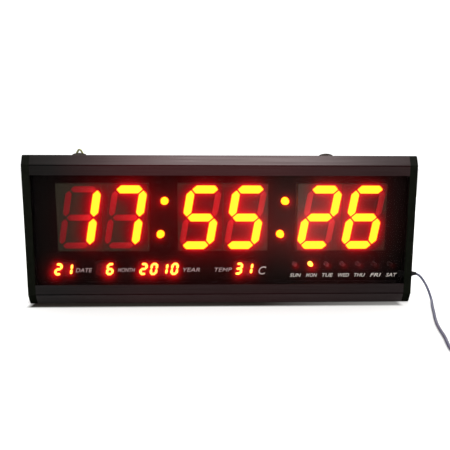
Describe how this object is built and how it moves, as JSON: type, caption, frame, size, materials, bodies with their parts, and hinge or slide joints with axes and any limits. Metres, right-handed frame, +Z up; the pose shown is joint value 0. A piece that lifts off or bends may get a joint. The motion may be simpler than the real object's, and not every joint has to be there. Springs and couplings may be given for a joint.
{
  "type": "led digital wall clock",
  "caption": "Long LED wall clock and calendar: black aluminium rails, tinted window, seven-segment digits, sliding rear hangers, low-voltage lead with a wall adapter.",
  "frame": {"origin": "centre of the case's footprint, on the surface it stands on", "axes": "+X to the right as the face is read, +Y towards the back, +Z up"},
  "size_m": [0.535, 0.2365, 0.1875],
  "materials": {
    "anodised_aluminium": "black anodised, satin",
    "cap_plastic": "moulded, semi-gloss",
    "tinted_window": "dark tinted acrylic, polished",
    "cover_plastic": "fine grained sheet",
    "screw_steel": "zinc plated",
    "circuit_board": "black solder mask",
    "standoff_brass": "turned",
    "module_housing": "dark grey face",
    "segment_lit": "cast epoxy, lit",
    "segment_unlit": "cast epoxy, unlit",
    "legend_ink": "screen-printed ink",
    "chip_plastic": "moulded epoxy",
    "crystal_can": "drawn can",
    "capacitor_sleeve": "shrink sleeve",
    "holder_plastic": "moulded",
    "cell_steel": "pressed can",
    "button_plastic": "moulded",
    "bracket_paint": "black coated sheet steel",
    "ring_zinc": "yellow zinc plated wire",
    "plug_metal": "nickel plated",
    "plug_sleeve": "moulded soft plastic",
    "cord_sleeve": "thin flexible sleeve",
    "tie_plastic": "wire tie",
    "adapter_plastic": "fine spark texture"
  },
  "bodies": {
    "case": {"adapter_case": "adapter_plastic", "adapter_prongs": "plug_metal", "adapter_strain_relief": "plug_sleeve", "backup_battery": "cell_steel", "battery_holder": "holder_plastic", "board_screws": "screw_steel", "board_standoffs": "standoff_brass", "bottom_rail": "anodised_aluminium", "buzzer": "holder_plastic", "clock_crystal": "crystal_can", "cord_tie": "tie_plastic", "cover_screws": "screw_steel", "date_housing": "module_housing", "date_segments": "segment_unlit", "dc_cord": "cord_sleeve", "dc_cord_coil": "cord_sleeve", "dc_cord_tail": "cord_sleeve", "dc_jack": "holder_plastic", "dc_plug_barrel": "plug_metal", "dc_plug_body": "plug_sleeve", "display_board": "circuit_board", "driver_chips": "chip_plastic", "end_cap_screws": "screw_steel", "filter_capacitors": "capacitor_sleeve", "front_window": "tinted_window", "hour_minute_colon": "segment_lit", "hour_tens_housing": "module_housing", "hour_tens_segments": "segment_unlit", "hour_units_housing": "module_housing", "hour_units_segments": "segment_unlit", "left_end_cap": "cap_plastic", "microcontroller": "chip_plastic", "minute_second_colon": "segment_lit", "minute_tens_housing": "module_housing", "minute_tens_segments": "segment_unlit", "minute_units_housing": "module_housing", "minute_units_segments": "segment_unlit", "month_housing": "module_housing", "month_segments": "segment_unlit", "rear_cover": "cover_plastic", "right_end_cap": "cap_plastic", "second_tens_housing": "module_housing", "second_tens_segments": "segment_unlit", "second_units_housing": "module_housing", "second_units_segments": "segment_unlit", "tactile_switches": "holder_plastic", "temperature_housing": "module_housing", "temperature_segments": "segment_unlit", "temperature_sensor": "chip_plastic", "top_rail": "anodised_aluminium", "weekday_lamps": "segment_unlit", "year_housing": "module_housing", "year_segments": "segment_unlit"},
    "left_hanger": {"left_hanger_bracket": "bracket_paint"},
    "left_ring": {"left_hanger_ring": "ring_zinc"},
    "right_hanger": {"right_hanger_bracket": "bracket_paint"},
    "right_ring": {"right_hanger_ring": "ring_zinc"},
    "set_button": {"set_button": "button_plastic"},
    "up_button": {"up_button": "button_plastic"},
    "down_button": {"down_button": "button_plastic"}
  },
  "joints": [
    {"name": "left_hanger_slide", "type": "slide", "parent": "case", "child": "left_hanger", "axis": [1, 0, 0], "range_m": [-0.038, 0.14]},
    {"name": "left_ring_hinge", "type": "hinge", "parent": "left_hanger", "child": "left_ring", "pos_m": [-0.175, 0.01675, 0.173], "axis": [-1, 0, 0], "range_deg": [0, 180]},
    {"name": "right_hanger_slide", "type": "slide", "parent": "case", "child": "right_hanger", "axis": [1, 0, 0], "range_m": [-0.11, 0.082]},
    {"name": "right_ring_hinge", "type": "hinge", "parent": "right_hanger", "child": "right_ring", "pos_m": [0.131, 0.01675, 0.173], "axis": [1, 0, 0], "range_deg": [0, 180]},
    {"name": "set_button_press", "type": "slide", "parent": "case", "child": "set_button", "axis": [0, -1, 0], "range_m": [0, 0.0005], "stiffness_N_per_m": 1200},
    {"name": "up_button_press", "type": "slide", "parent": "case", "child": "up_button", "axis": [0, -1, 0], "range_m": [0, 0.0005], "stiffness_N_per_m": 1200},
    {"name": "down_button_press", "type": "slide", "parent": "case", "child": "down_button", "axis": [0, -1, 0], "range_m": [0, 0.0005], "stiffness_N_per_m": 1200}
  ]
}
